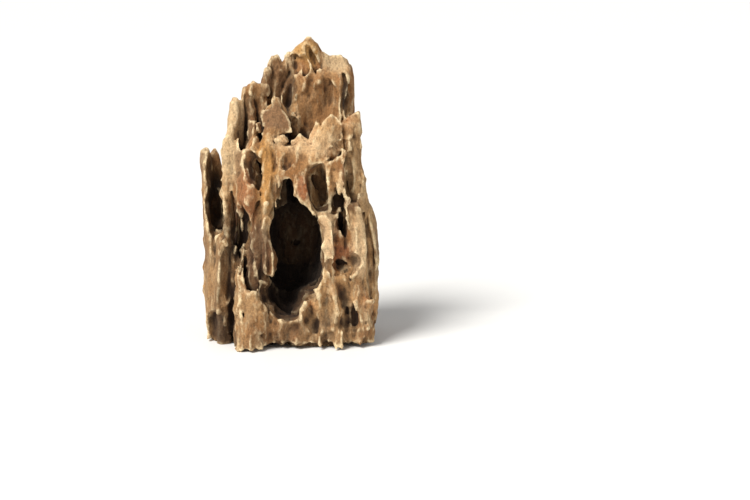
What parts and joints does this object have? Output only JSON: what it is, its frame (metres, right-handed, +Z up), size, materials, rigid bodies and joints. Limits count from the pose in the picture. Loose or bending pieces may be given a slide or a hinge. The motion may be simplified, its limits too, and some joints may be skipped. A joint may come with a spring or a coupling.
{
  "type": "dragon stone",
  "caption": "Upright dragon stone: weathered ochre clay rock with spires, upright flutes, slots, a window and a cave, on a flat foot.",
  "frame": {"origin": "middle of the flat foot, at the centre of the stone's box in plan", "axes": "+Z up the stone, front with the cave facing -Y, +X to the right of someone facing the cave"},
  "size_m": [0.184, 0.1298, 0.2982],
  "materials": {
    "stone": "matte"
  },
  "bodies": {
    "root": {"dragon_stone": "stone"}
  },
  "joints": []
}
